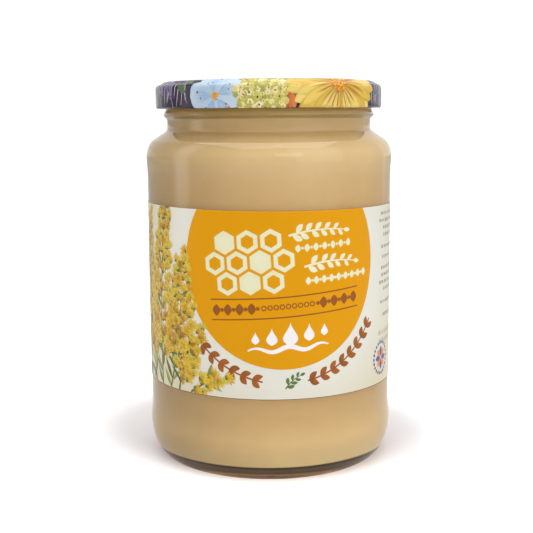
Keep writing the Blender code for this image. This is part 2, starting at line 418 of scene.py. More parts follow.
def honeySurface():
    material, tree, shader = newMaterial("creamedHoney")
    where = addNode(tree, "ShaderNodeTexCoord", (-1200, 200)).outputs["Object"]
    place = addNode(tree, "ShaderNodeSeparateXYZ", (-600, 440), {0: where}).outputs
    folds = addNode(tree, "ShaderNodeMapping", (-1020, 200), {"Vector": where, "Scale": (1.0, 1.0, 0.35)})
    swirl = addNoise(tree, (-820, 200), {"Vector": folds.outputs[0], "Scale": 22.0, "Detail": 4.0,
                                         "Roughness": 0.5, "Distortion": 0.6})
    shades = addRamp(tree, (-600, 200), swirl,
                     [(0.3, linear(*honey["color"])), (0.72, linear(*honey["light"]))])

    # painted light and shade by height: paler low down and towards the neck as painted light, bright and
    # dark bands at the bead as painted highlight and shade, deep under the lid as painted shade
    level = calculate(tree, "MULTIPLY", (-600, 640), place["Z"], 1.0 / (honey["level"] * mm))
    paintedLightByHeight = addRamp(tree, (-440, 640), level,
                       [(height / honey["level"], (*share, 1.0)) for height, share in honey["paintedLightAndShadeAt"]])
    tinted = colorMix(tree, (-440, 200), 1.0, shades, paintedLightByHeight, "MULTIPLY")
    crystal = useGroup(tree, inkMottle, (-300, 200),
                       {"Ink": tinted, "Depth": 0.07, "Patch Size": 160.0, "Speckle Size": 1900.0})

    # painted shade: darker towards the left and right sides
    sides = []
    for (start, end), first, last in ((honey["leftFade"], honey["leftShade"], 1.0),
                                      (honey["rightFade"], 1.0, honey["rightShade"])):
        sides.append(mapRange(tree, (-420, 440 - 140 * len(sides)), place["X"], (start * mm, end * mm),
                              (first, last), interpolation_type="SMOOTHSTEP"))
    sideShaded = scaleColor(tree, (-120, 360), crystal, calculate(tree, "MULTIPLY", (-260, 360), *sides))

    # at the foot: the underside, the dip's side in painted shade, a thin line of painted shade, then the
    # honey itself
    low, middle, high, full = honey["shadeHeights"]
    surface = linear(*honey["underside"])
    for count, (color, first, last) in enumerate(((linear(*honey["dipSideShade"]), low, middle),
                                                  (linear(*honey["shadeLine"]), *honey["shadeLineHeights"]),
                                                  (sideShaded, high, full))):
        rise = mapRange(tree, (-420, -60 - 200 * count), place["Z"], (first * mm, last * mm))
        surface = colorMix(tree, (-220 + 50 * count, -100 + 100 * count), rise, surface, color)
    feed(tree, shader.inputs["Base Color"], surface)
    shader.inputs["Roughness"].default_value = honey["roughness"]
    shader.inputs["Specular IOR Level"].default_value = 0.0     # no air between it and the glass
    addGrain(tree, shader, 1500.0, 0.4, 0.12, 0.0002)
    return material


def honeySection():
    # follows the glass, but dips into the thick base so that no light runs through under it
    line = glassInside(glassJar, honey["reach"])
    floorRadius, floorHeight = glassJar["innerFloor"][:2]
    wall = glassJar["panelRadius"] - glassJar["wall"] + honey["reach"]
    heelHeight = glassJar["innerHeelHeight"]
    floorHeight -= honey["reach"]
    heel = ellipseArc((floorRadius, heelHeight), (wall - floorRadius, heelHeight - floorHeight),
                      -90.0 + honey["dipHeel"], 0.0, 18)
    above = [point for point in line if point[1] > heelHeight + 0.01]
    return list(honey["dip"]) + heel + above


across, down = honey["edgeRound"]
honeyLine = honeySection()
honeyLine.append((glassJar["mouthRadius"] + honey["reach"], honey["level"] - down))
honeyLine += ellipseArc((glassJar["mouthRadius"] - across, honey["level"] - down), (across, down),
                        0.0, 90.0, 4)
honeyLine.append((0.0, honey["level"]))
addPiece("creamedHoney", turnedMesh("creamedHoney", honeyLine, glassJar["turnSteps"]),
         honeySurface(), "creamed_honey")
print("honey ready")


# label paper

label = {
    "radius": 46.62,
    "thickness": 0.1,
    "bottom": 31.8,
    "top": 98.6,
    "slant": -0.0068,             # rise per millimetre to the right, since it sits slightly askew
    "levelAt": -5.0,              # arc distance at which the slant is nought
    "halfLength": 141.5,
    "turnStep": 1.2,
    "mapScale": 100.0,            # millimetres for one unit of the print's map
    "fadeMiddle": 79.8,           # the paper is palest round this height at the front
    "fade": (44.0, 64.0),
    "paper": (229, 227, 215),
    "tinted": (218, 209, 178),
    "gloss": 0.3,
}


def labelPoint(points, lift):
    # arc distance and height on the label to places in metres, lift is the height over the paper
    arc, height = points[:, 0], points[:, 1]
    radius = label["radius"] + label["thickness"] + lift
    angle = arc / (label["radius"] + label["thickness"])
    height = height + label["slant"] * (arc - label["levelAt"])
    return np.stack([radius * np.sin(angle), -radius * np.cos(angle), height], 1) * mm


def labelMesh():
    steps = int(2 * label["halfLength"] / label["turnStep"])
    arcs = np.linspace(-label["halfLength"], label["halfLength"], steps + 1)
    rows = [(label["bottom"], -label["thickness"]), (label["bottom"], 0.0),
            (label["top"], 0.0), (label["top"], -label["thickness"])]
    sheet = bmesh.new()
    across = sheet.loops.layers.uv.new("printPlace")
    columns = []
    for arc in arcs:
        columns.append([sheet.verts.new(labelPoint(np.array([[arc, height]]), lift)[0])
                        for height, lift in rows])
    for i in range(steps):
        for k in range(4):
            face = sheet.faces.new([columns[i][k], columns[i + 1][k],
                                    columns[i + 1][(k + 1) % 4], columns[i][(k + 1) % 4]])
            spots = [(arcs[i], rows[k][0]), (arcs[i + 1], rows[k][0]),
                     (arcs[i + 1], rows[(k + 1) % 4][0]), (arcs[i], rows[(k + 1) % 4][0])]
            for loop, spot in zip(face.loops, spots):
                loop[across].uv = (spot[0] / label["mapScale"], spot[1] / label["mapScale"])
    sheet.faces.new(columns[0])
    sheet.faces.new(list(reversed(columns[-1])))
    bmesh.ops.recalc_face_normals(sheet, faces=sheet.faces)
    mesh = bpy.data.meshes.new("labelPaper")
    sheet.to_mesh(mesh)
    sheet.free()
    mesh.shade_smooth()
    mesh.set_sharp_from_angle(angle=math.radians(40))
    return mesh


def labelPaper():
    # off-white round the disc, a tinted ground further out
    material, tree, shader = newMaterial("labelPaper")
    scale = label["mapScale"]
    where = addNode(tree, "ShaderNodeUVMap", (-1200, 300), uv_map="printPlace")
    away = addNode(tree, "ShaderNodeVectorMath", (-1000, 300),
                   {0: where.outputs[0], 1: (0.0, label["fadeMiddle"] / scale, 0.0)}, operation="DISTANCE")
    fade = mapRange(tree, (-800, 300), away.outputs["Value"], [reach / scale for reach in label["fade"]])
    ground = colorMix(tree, (-580, 300), fade, linear(*label["paper"]), linear(*label["tinted"]))
    addMottle(tree, shader, (-300, 300), ground, 0.03, 70.0, 2600.0)
    addMarks(tree, shader, label["gloss"], 0.12, 40.0)
    addGrain(tree, shader, 2200.0, 0.5, 0.08, 0.0001)
    return material


paperPiece = addPiece("labelPaper", labelMesh(), labelPaper(), "paper_label")
paperPiece.visible_shadow = False
print("label paper ready")


# lid

lid = {
    "turnSteps": 192,
    "radius": 42.8,
    "bottom": 133.8,
    "top": 143.92,
    "sheet": 0.4,
    "curl": 0.7,
    "cornerRound": (1.5, 1.6),
    "cornerDrop": 0.15,
    "crestDrop": 0.1,
    "riserFoot": (41.0, 142.65),
    "riserHead": (39.4, 143.7),
    "crestRadius": 36.8,
    "stepRadius": 34.6,
    "panelRadius": 33.2,
    "panelDepth": 0.8,
    "crestEnd": 0.6,                 # where the crest ends between its radius and the riser's head
    "bendRounds": 3,                 # rounds of corner cutting that soften the pressed bends
    "ceiling": 144.1,                # no print stands higher
    "ground": (52, 35, 59),
    "groundDark": (34, 23, 41),
    "gloss": 0.16,
    "shine": 0.34,
}


def lidTopLine(cap):
    # outer side from the middle of the panel to the foot of the skirt's straight part
    corner = (cap["radius"] - cap["cornerRound"][0],
              cap["riserFoot"][1] - cap["cornerRound"][1] - cap["cornerDrop"])
    panel = cap["top"] - cap["panelDepth"]
    crestEnd = (1.0 - cap["crestEnd"]) * cap["crestRadius"] + cap["crestEnd"] * cap["riserHead"][0]
    soft = [(cap["panelRadius"] - 3.0, panel), (cap["panelRadius"], panel),
            (cap["stepRadius"], cap["top"]), (cap["crestRadius"], cap["top"]),
            (crestEnd, cap["top"] - cap["crestDrop"]), cap["riserHead"], cap["riserFoot"]]
    arc = ellipseArc(corner, cap["cornerRound"], 70.0, 0.0, 14)
    soft.append(arc[0])
    for _ in range(cap["bendRounds"]):
        cut = [soft[0]]
        for start, end in zip(soft, soft[1:]):
            cut.append((0.75 * start[0] + 0.25 * end[0], 0.75 * start[1] + 0.25 * end[1]))
            cut.append((0.25 * start[0] + 0.75 * end[0], 0.25 * start[1] + 0.75 * end[1]))
        soft = cut + [soft[-1]]
    inner = [(cap["panelRadius"] * share / 8, panel) for share in range(7)]
    foot = (cap["radius"], cap["bottom"] + 2.6 * cap["curl"])
    return inner + soft + arc[1:] + [foot]


def lidSection(cap):
    top = lidTopLine(cap)
    under = []
    for i, (radius, height) in enumerate(top):
        before, after = top[max(i - 1, 0)], top[min(i + 1, len(top) - 1)]
        along = (after[0] - before[0], after[1] - before[1])
        size = math.hypot(*along)
        under.append((max(radius + along[1] / size * cap["sheet"], 0.0),
                      height - along[0] / size * cap["sheet"]))
    under[0] = (0.0, top[0][1] - cap["sheet"])
    under.reverse()
    curl = cap["curl"]
    roll = ellipseArc((cap["radius"] - curl, cap["bottom"] + curl), (curl, curl),
                      0.0, -215.0, 16)
    return top + roll + under


lidLine = lidTopLine(lid)
lidLine += ellipseArc((lid["radius"] - lid["curl"], lid["bottom"] + lid["curl"]),
                      (lid["curl"], lid["curl"]), 0.0, -60.0, 6)
lidLine = np.array(lidLine)
lidReach = np.concatenate([[0.0], np.cumsum(np.hypot(*np.diff(lidLine, axis=0).T))])


def lidPoint(points, lift):
    # a place on the flat sheet that the lid was pressed from to its place on the lid, in metres
    away = np.hypot(points[:, 0], points[:, 1])
    reach = np.clip(away, 1e-6, lidReach[-1])
    way = points / away.clip(1e-6)[:, None]
    radius, before, after = (np.interp(reach + hop, lidReach, lidLine[:, 0]) for hop in (0.0, -0.15, 0.15))
    acrossBend = after - before
    height, before, after = (np.interp(reach + hop, lidReach, lidLine[:, 1]) for hop in (0.0, -0.15, 0.15))
    downBend = after - before
    size = np.hypot(acrossBend, downBend).clip(1e-6)
    radius = radius - downBend / size * lift
    height = np.minimum(height + acrossBend / size * lift, lid["ceiling"])
    return np.stack([way[:, 0] * radius, way[:, 1] * radius, height], 1) * mm


def lidEnamel():
    material, tree, shader = newMaterial("lidEnamel")
    where = addNode(tree, "ShaderNodeTexCoord", (-1000, 300)).outputs["Object"]
    cloud = addNoise(tree, (-800, 300), {"Vector": where, "Scale": 95.0, "Detail": 3.0,
                                         "Roughness": 0.6, "Distortion": 0.4})
    spread = mapRange(tree, (-700, 120), cloud, (0.35, 0.65))
    ground = colorMix(tree, (-560, 300), spread, linear(*lid["groundDark"]), linear(*lid["ground"]))
    addMottle(tree, shader, (-300, 300), ground, 0.15, 300.0, 2400.0)
    addMarks(tree, shader, lid["gloss"], 0.15, 60.0)
    shader.inputs["Specular IOR Level"].default_value = lid["shine"]
    addGrain(tree, shader, 700.0, 0.6, 0.03, 0.0001)
    return material


addPiece("lidSheet", turnedMesh("lidSheet", lidSection(lid), lid["turnSteps"]),
         lidEnamel(), "lid")
print("lid ready")


# print: flat shapes of ink, a few hundredths of a millimetre over the paper or the lid

def newSheet(place, lift, step, over=0.0):
    # place maps flat points to the surface, step is a cell's longest side, over reaches past the label
    return {"place": place, "lift": lift, "step": step, "over": over,
            "points": [], "faces": [], "marks": [], "count": 0}


def layGrid(sheet, grid, tone, extraLift=0.0):
    rows, columns = grid.shape[:2]
    flat = grid.reshape(-1, 2)
    along, across = np.meshgrid(np.linspace(0, 1, rows), np.linspace(0, 1, columns), indexing="ij")
    index = sheet["count"] + np.arange(rows * columns).reshape(rows, columns)
    quads = np.stack([index[:-1, :-1], index[1:, :-1], index[1:, 1:], index[:-1, 1:]], -1).reshape(-1, 4)
    middle = 0.25 * (grid[:-1, :-1] + grid[1:, :-1] + grid[1:, 1:] + grid[:-1, 1:]).reshape(-1, 2)
    if sheet["place"] is lidPoint:
        quads = quads[np.hypot(middle[:, 0], middle[:, 1]) < lidReach[-1]]
    else:
        lowest, highest = label["bottom"] - sheet["over"], label["top"] + sheet["over"]
        quads = quads[(middle[:, 1] > lowest) & (middle[:, 1] < highest)]
        flat = np.stack([flat[:, 0], np.clip(flat[:, 1], lowest, highest)], 1)
    sheet["points"].append(sheet["place"](flat, sheet["lift"] + extraLift))
    sheet["faces"].append(quads)
    sheet["marks"].append(np.stack([along.ravel(), across.ravel(), np.full(rows * columns, tone)], 1))
    sheet["count"] += rows * columns


def layRibbon(sheet, path, halves, tone=0.5, extraLift=0.0):
    # a strip along a path with a half width at each of its points
    path, halves = np.asarray(path, float), np.asarray(halves, float)
    ahead = np.gradient(path, axis=0)
    ahead /= np.hypot(ahead[:, 0], ahead[:, 1]).clip(1e-9)[:, None]
    side = np.stack([-ahead[:, 1], ahead[:, 0]], 1)
    cells = max(1, int(math.ceil(2 * halves.max() / sheet["step"])))
    shares = np.linspace(-1, 1, cells + 1)
    grid = path[:, None, :] + side[:, None, :] * (halves[:, None] * shares[None, :])[..., None]
    layGrid(sheet, grid, tone, extraLift)


def layPetal(sheet, root, heading, length, width, tone=0.5, bend=0.0, fullAt=0.6, blunt=0.8, extraLift=0.0):
    steps = max(5, int(math.ceil(length / sheet["step"])))
    shares = np.linspace(0, 1, steps + 1)
    angles = heading + bend * shares
    hops = np.stack([np.cos(angles), np.sin(angles)], 1) * length / steps
    path = np.array(root) + np.concatenate([[[0.0, 0.0]], np.cumsum(hops[:-1], axis=0)])
    power = math.log(0.5) / math.log(fullAt)
    halves = 0.5 * width * np.sin(np.pi * shares ** power).clip(0) ** blunt + 0.02
    layRibbon(sheet, path, halves, tone, extraLift)


def layDot(sheet, center, radius, tone=0.5, extraLift=0.0):
    steps = max(6, int(math.ceil(2 * radius / sheet["step"])))
    turns = np.linspace(0, math.pi, steps + 1)
    path = np.array(center) + np.stack([-radius * np.cos(turns), 0 * turns], 1)
    layRibbon(sheet, path, radius * np.sin(turns) + 0.01, tone, extraLift)


def layRing(sheet, center, radius, stroke, corners, turn=0.0, tone=0.5, extraLift=0.0):
    # a ring: smooth with many corners, a comb cell with six
    spots = []
    for k in range(corners + 1):
        angle = turn + 2 * math.pi * k / corners
        spots.append((math.cos(angle), math.sin(angle)))
    spots = np.array(spots)
    cells = max(1, int(2 * math.pi * radius / corners / sheet["step"]))
    circle = []
    for start, end in zip(spots, spots[1:]):
        for i in range(cells):
            circle.append(start + (end - start) * i / cells)
    circle.append(spots[-1])
    circle = np.array(circle)
    grid = np.stack([circle * radius, circle * (radius - stroke)], 1) + np.array(center)
    layGrid(sheet, grid, tone, extraLift)


def layLine(sheet, corners, half, tone=0.5, extraLift=0.0):
    corners = np.asarray(corners, float)
    hops = np.hypot(*np.diff(corners, axis=0).T)
    reach = np.concatenate([[0.0], np.cumsum(hops)])
    count = max(2, int(reach[-1] / (1.6 * sheet["step"])))
    spots = np.linspace(0, reach[-1], count + 1)
    path = np.stack([np.interp(spots, reach, corners[:, 0]), np.interp(spots, reach, corners[:, 1])], 1)
    layRibbon(sheet, path, np.full(len(path), half), tone, extraLift)


def wayTo(angle):
    # one step in a heading, 0 to the right and a quarter turn up
    return np.array((math.cos(angle), math.sin(angle)))


def wayFrom(angle):
    # one step in a heading turned from straight down to the right
    return np.array((math.sin(angle), -math.cos(angle)))


def headingAt(path, at):
    way = path[at + 1] - path[at]
    return math.atan2(way[1], way[0])


def bentPath(start, end, bow, count):
    # a bow between two points, bow is its height over the straight line
    start, end = np.array(start, float), np.array(end, float)
    shares = np.linspace(0, 1, count + 1)[:, None]
    side = np.array([-(end - start)[1], (end - start)[0]]) / np.hypot(*(end - start))
    return start + (end - start) * shares + side * bow * 4 * shares * (1 - shares)


def finishSheet(name, sheet, material):
    mesh = bpy.data.meshes.new(name)
    faces = np.concatenate(sheet["faces"])
    used, order = np.unique(faces, return_inverse=True)
    points = np.concatenate(sheet["points"])[used]
    marks = np.concatenate(sheet["marks"])[used]
    faces = order.reshape(-1, 4)
    mesh.from_pydata(points.tolist(), [], faces.tolist())
    layer = mesh.uv_layers.new(name="printPlace")
    layer.data.foreach_set("uv", marks[faces.ravel(), :2].astype(np.float32).ravel())
    tones = mesh.attributes.new("tone", "FLOAT", "POINT")
    tones.data.foreach_set("value", marks[:, 2].astype(np.float32))
    mesh.shade_smooth()
    piece = addPiece(name, mesh, material)
    piece.visible_shadow = False      # light gathers behind the label, so it throws no shade inwards


def inkMaterial(name, shades, depth=0.08, rootShade=1.0, edgeShade=1.0, gloss=label["gloss"],
                patchSize=220.0, shine=0.3):
    # shades run with each shape's tone; rootShade and edgeShade darken a petal's root and edges
    material, tree, shader = newMaterial(name)
    tone = addNode(tree, "ShaderNodeAttribute", (-1300, 300), attribute_name="tone")
    color = addRamp(tree, (-1100, 300), tone.outputs["Fac"],
                    [(i / (len(shades) - 1), linear(*shade)) for i, shade in enumerate(shades)])
    where = addNode(tree, "ShaderNodeUVMap", (-1300, -60), uv_map="printPlace")
    parts = addNode(tree, "ShaderNodeSeparateXYZ", (-1120, -60), {0: where.outputs[0]}).outputs
    along = mapRange(tree, (-940, 40), parts["X"], (0.0, 0.6), (rootShade, 1.0))
    offset = calculate(tree, "SUBTRACT", (-940, -160), parts["Y"], 0.5)
    aside = calculate(tree, "ABSOLUTE", (-780, -160), offset)
    across = mapRange(tree, (-620, -160), aside, (0.2, 0.5), (1.0, edgeShade))
    both = calculate(tree, "MULTIPLY", (-460, 0), along, across)
    shaded = scaleColor(tree, (-460, 240), color, both)
    addMottle(tree, shader, (-260, 240), shaded, depth, patchSize, 2600.0)
    addMarks(tree, shader, gloss, 0.12, 40.0)
    addGrain(tree, shader, 2200.0, 0.5, 0.06, 0.0001)
    shader.inputs["Specular IOR Level"].default_value = shine
    return material


# label print

labelPrint = {
    "disc": (0.0, 79.8, 37.2),         # middle and radius
    "seed": 7,                         # of all that is drawn at random on the label
    "edgeShadowLines": ((-0.12, 0.15, 0.3), (0.06, 0.08, 0.8)),    # painted shadow lines along the label's edges, below and above: height, half width, tone
    "lineTilt": 3.7,                   # degrees that the rows rise to the right
    "combMiddle": (-12.4, 80.6),
    "combSize": 4.25,
    "combStroke": 1.75,
    "combPitch": (8.3, 7.25),
    "combRows": (3, 4, 3),
    "combFilled": ((0, 0), (1, 2), (2, 1)),
    # start, end, bow, leaf length and width, number of leaves, half width of the stem
    "sprigs": (((1.6, 90.0), (22.6, 91.6), 1.1, (4.2, 2.1), 11, 0.42),
               ((7.2, 79.0), (27.2, 80.2), 1.1, (4.2, 2.1), 10, 0.42)),
    "lowSprig": ((0.4, 35.6), (5.6, 40.2), 0.5, (3.0, 1.4), 6, 0.26),
    # start, end, number and size of the seeds, first ring and the seed after the last ring
    "seedRows": (((4.9, 85.5), (24.8, 86.9), 13, 2.9), ((8.7, 74.0), (32.6, 75.7), 17, 2.9)),
    "middleRow": ((-24.4, 63.3), (27.4, 67.1), 25, 4.2, 8, 17),
    "ruleHalf": 0.24,
    "rules": (((-26.6, 67.0), (-0.1, 68.4), (29.4, 70.7)), ((-26.3, 59.7), (-0.1, 61.3), (29.5, 63.6))),
    # tip and length
    "drops": ((-10.2, 56.0, 4.4), (-4.4, 57.4, 6.2), (2.2, 59.4, 8.4), (9.0, 58.8, 6.2), (14.8, 58.6, 4.4)),
    "thread": (-13.0, 29.4, 49.2, 1.8, 0.8),     # start, length, height, rise, size of the waves
    "garlandRadius": 42.4,
    "garlandLeft": (-47.0, -10.5),     # degrees from straight down, to the right
    "garlandRight": (11.5, 59.0),
    "garlandStep": 5.4,
    "rosette": (46.2, 41.2),
    "rosetteDots": (22, 5.9, 0.62),    # number, how far out, radius
    "rosettePetals": (8, 0.4, 4.0, 2.1),    # number, how far out, length, width
    "dashStart": 43.6,
    "dashEnd": 96.0,
    "dashRows": (95.6, 93.0, 90.3, 87.6, 83.2, 79.4, 75.3, 72.6, 69.9, 67.2, 62.4, 57.4),
    "paleRows": (50.8, 47.6),
    # for each piece: ink, height over the paper and a cell's longest side, shades, other looks
    "inks": {
        "sunDisc": ("orangeInk", (0.02, 1.0), [(224, 154, 6), (230, 160, 10)],
                    {"depth": 0.035, "patchSize": 60.0, "shine": 0.1}),
        # painted shadow: thin brown lines along the label's lower and upper edges
        "labelEdge": ("edgeShadowBrown", (-0.05, 1.2, 0.4), [(120, 76, 42), (158, 122, 84)],
                      {"depth": 0.15, "gloss": 0.45}),
        "combAndSprigs": ("creamInk", (0.045, 0.8), [(233, 230, 186), (240, 236, 204)], {"depth": 0.05}),
        "rulesAndSeeds": ("brownInk", (0.045, 0.8), [(146, 78, 4), (166, 92, 8)], {"depth": 0.1}),
        "honeyDrops": ("whiteInk", (0.045, 0.7), [(246, 240, 240), (250, 246, 246)], {"depth": 0.03}),
        "leafGarland": ("rustInk", (0.03, 0.7), [(150, 80, 14), (172, 96, 26)],
                        {"depth": 0.12, "rootShade": 0.85}),
        "greenSprig": ("greenInk", (0.03, 0.6), [(66, 106, 44), (112, 138, 66)],
                       {"depth": 0.12, "rootShade": 0.85}),
        "greyDashes": ("greyInk", (0.03, 1.0), [(144, 138, 114), (184, 178, 152)], {"depth": 0.15}),
        "paleDashes": ("paleInk", (0.03, 1.0), [(186, 184, 150), (200, 198, 166)], {"depth": 0.1}),
        "rosettePetals": ("amberInk", (0.03, 0.5), [(226, 140, 66), (232, 156, 90)], {}),
        "rosetteDots": ("violetInk", (0.03, 0.5), [(62, 62, 140), (110, 110, 176)], {}),
        "sprayStems": ("leafInk", (0.03, 0.9), [(78, 90, 32), (122, 134, 50), (178, 182, 92)],
                       {"depth": 0.2, "rootShade": 0.9, "edgeShade": 0.8}),
        "sprayShade": ("oliveInk", (0.05, 1.0), [(66, 78, 30), (104, 108, 36), (150, 140, 50)],
                       {"depth": 0.25, "rootShade": 0.9, "edgeShade": 1.05}),
        "sprayBlooms": ("blossomInk", (0.06, 0.7),
                        [(136, 108, 22), (204, 144, 26), (228, 182, 36), (226, 200, 66), (196, 188, 76)],
                        {"depth": 0.25, "rootShade": 0.55, "edgeShade": 0.9}),
    },
}


def tilted(points, middle, degrees):
    turn = math.radians(degrees)
    points = np.asarray(points, float) - middle
    turned = np.stack([points[..., 0] * math.cos(turn) - points[..., 1] * math.sin(turn),
                       points[..., 0] * math.sin(turn) + points[..., 1] * math.cos(turn)], -1)
    return turned + middle


def layDisc(sheet):
    middle, height, radius = labelPrint["disc"]
    turns = np.linspace(-math.pi / 2, math.pi / 2, 181)
    arcs = middle + radius * np.sin(turns)
    tops = np.minimum(height + radius * np.cos(turns), label["top"] - 0.02)
    bottoms = height - radius * np.cos(turns)
    rows = np.linspace(0, 1, 9)
    grid = np.stack([np.repeat(arcs[:, None], len(rows), 1),
                     bottoms[:, None] + (tops - bottoms)[:, None] * rows[None, :]], -1)
    layGrid(sheet, grid, 0.5)


def layComb(sheet):
    # a small piece of honeycomb, with a few cells filled
    middle = np.array(labelPrint["combMiddle"])
    across, up = labelPrint["combPitch"]
    size = labelPrint["combSize"]
    turn = math.radians(90.0 + labelPrint["lineTilt"])
    filled = size - labelPrint["combStroke"] + 0.1
    for row, count in enumerate(labelPrint["combRows"]):
        for k in range(count):
            spot = middle + ((k - 0.5 * (count - 1)) * across, (1 - row) * up)
            spot = tilted(spot, middle, labelPrint["lineTilt"])
            layRing(sheet, spot, size, labelPrint["combStroke"], 6, turn, 0.3 + 0.1 * ((row + k) % 3))
            if (row, k) in labelPrint["combFilled"]:
                layRing(sheet, spot, filled, filled - 0.02, 6, turn, 0.7)


def laySprig(sheet, start, end, bow, leaf, count, stem, tone=0.5):
    # a stem with leaves on both sides by turns
    path = bentPath(start, end, bow, 30)
    taper = np.linspace(1.0, 0.45, len(path))
    layRibbon(sheet, path, stem * taper, tone)
    for k in range(count):
        at = int((k + 0.8) / (count + 0.6) * (len(path) - 2))
        heading = headingAt(path, at)
        side = 1 if k % 2 else -1
        size = 1.0 - 0.35 * k / count
        layPetal(sheet, path[at], heading + side * 0.95, leaf[0] * size, leaf[1] * size, tone,
                 -side * 0.5, 0.55, 0.85, 0.004 + 0.001 * k)
    layPetal(sheet, path[-1], headingAt(path, len(path) - 2), leaf[0] * 0.7, leaf[1] * 0.75, tone,
             0.0, 0.5, 0.8, 0.004)


def laySeeds(sheet, start, end, count, size, ringsFrom=0, ringsTo=0):
    # lozenges and dots by turns, with open rings in the middle of the row
    spots = bentPath(start, end, 0.0, count - 1)
    for k, spot in enumerate(spots):
        if ringsFrom <= k < ringsTo:
            layRing(sheet, spot, 0.24 * size, 0.46, 18, 0.0, 0.8)
        elif k % 2:
            layDot(sheet, spot, 0.17 * size, 0.5)
        else:
            layPetal(sheet, spot - (0.0, 0.5 * size), math.pi / 2, size, 0.7 * size, 0.3, 0.0, 0.5, 0.9)


def layDrops(sheet):
    # honey drops over a wavy thread
    for arc, height, size in labelPrint["drops"]:
        layPetal(sheet, (arc, height), -math.pi / 2, size, 0.64 * size, 0.5, 0.0, 0.68, 0.85)
    first, length, foot, rise, wave = labelPrint["thread"]
    shares = np.linspace(0, 1, 60)
    thread = np.stack([first + length * shares,
                       foot + rise * shares + wave * np.sin(shares * 5 * math.pi)], 1)
    layRibbon(sheet, thread, 0.25 + 0.6 * np.sin(np.pi * shares), 0.5)


def layGarland(sheet):
    # leaves by pairs on a bent stem, with a berry between
    middle = np.array(labelPrint["disc"][:2])
    reach = labelPrint["garlandRadius"]
    for first, last in (labelPrint["garlandLeft"], labelPrint["garlandRight"]):
        turns = np.radians(np.linspace(first, last, 60))
        stem = middle + np.stack([np.sin(turns), -np.cos(turns)], 1) * reach
        layRibbon(sheet, stem, np.full(60, 0.3), 0.2)
        count = int(abs(last - first) / labelPrint["garlandStep"])
        for k in range(count):
            turn = math.radians(first + (last - first) * (k + 0.15) / count)
            root = middle + wayFrom(turn) * reach
            for side in (-1, 1):
                layPetal(sheet, root, turn + side * 0.78, 4.1, 2.1, 0.15 + 0.35 * (k % 3), -side * 0.5,
                         0.52, 0.85, 0.004)
            turn += math.radians(0.45 * (last - first) / count)
            spot = middle + wayFrom(turn) * (reach + 0.9 * (-1) ** k)
            layDot(sheet, spot, 0.62, 0.7, 0.008)


def layDashes(sheet, rows, half, draw, share):
    # rows of plain dashes, ragged on both sides
    for height in rows:
        arc = labelPrint["dashStart"] + draw.uniform(0.0, 4.6) * share
        end = labelPrint["dashEnd"] - draw.uniform(0.0, 14.0) * share
        while arc < end:
            size = draw.uniform(0.8, 3.2)
            layLine(sheet, ((arc, height), (arc + size, height)), half * draw.uniform(0.8, 1.1),
                    draw.uniform(0.2, 0.9))
            arc += size + draw.uniform(0.5, 0.9)


def layRosette(petals, dots):
    middle = np.array(labelPrint["rosette"])
    count, reach, radius = labelPrint["rosetteDots"]
    for k in range(count):
        layDot(dots, middle + wayTo(2 * math.pi * k / count) * reach, radius, 0.2 + 0.3 * (k % 2))
    count, reach, length, width = labelPrint["rosettePetals"]
    for k in range(count):
        turn = 2 * math.pi * k / count
        layPetal(petals if k % 2 else dots, middle + wayTo(turn) * reach, turn, length, width,
                 0.3, 0.0, 0.6, 0.8, 0.004)


spray = {
    # root, tip, bow, number of twigs, longest twig
    "spikes": (((-53.0, 31.9), (-49.8, 97.0), 1.6, 18, 13.5),
               ((-47.0, 31.9), (-40.0, 79.0), -2.0, 14, 10.5),
               ((-42.0, 31.9), (-31.5, 53.0), 1.6, 7, 6.2), ((-36.0, 31.9), (-21.5, 38.0), 1.2, 5, 3.6),
               ((-59.0, 31.9), (-65.0, 91.0), 3.0, 18, 12.0), ((-66.0, 31.9), (-84.0, 74.0), 4.0, 10, 11.0),
               ((-74.0, 31.9), (-98.0, 54.0), 3.0, 7, 9.0)),
    "bareShare": 0.2,                   # lower part of a spike that has leaves and no florets
    "floret": 2.9,
    "petals": 9,
    "tipShare": 0.44,                   # twigs at the tip, as a share of the longest
}


def layFloret(under, blooms, spot, heading, size, tone, level, draw):
    # a fan of thin petals over a short green cup
    cup = spot - 0.45 * size * wayTo(heading)
    for side in (-0.5, 0.0, 0.5):
        layPetal(under, cup, heading + side, 0.85 * size, 0.26 * size, draw.random(), 0.0, 0.5, 0.9, level)
    for petal in range(spray["petals"]):
        fan = heading + (petal / (spray["petals"] - 1) - 0.5) * 2.7 + draw.uniform(-0.12, 0.12)
        layPetal(blooms, spot, fan, size * draw.uniform(0.7, 1.1), size * 0.17,
                 min(1.0, max(0.0, tone + draw.uniform(-0.15, 0.15))), 0.0, 0.62, 0.8, level)


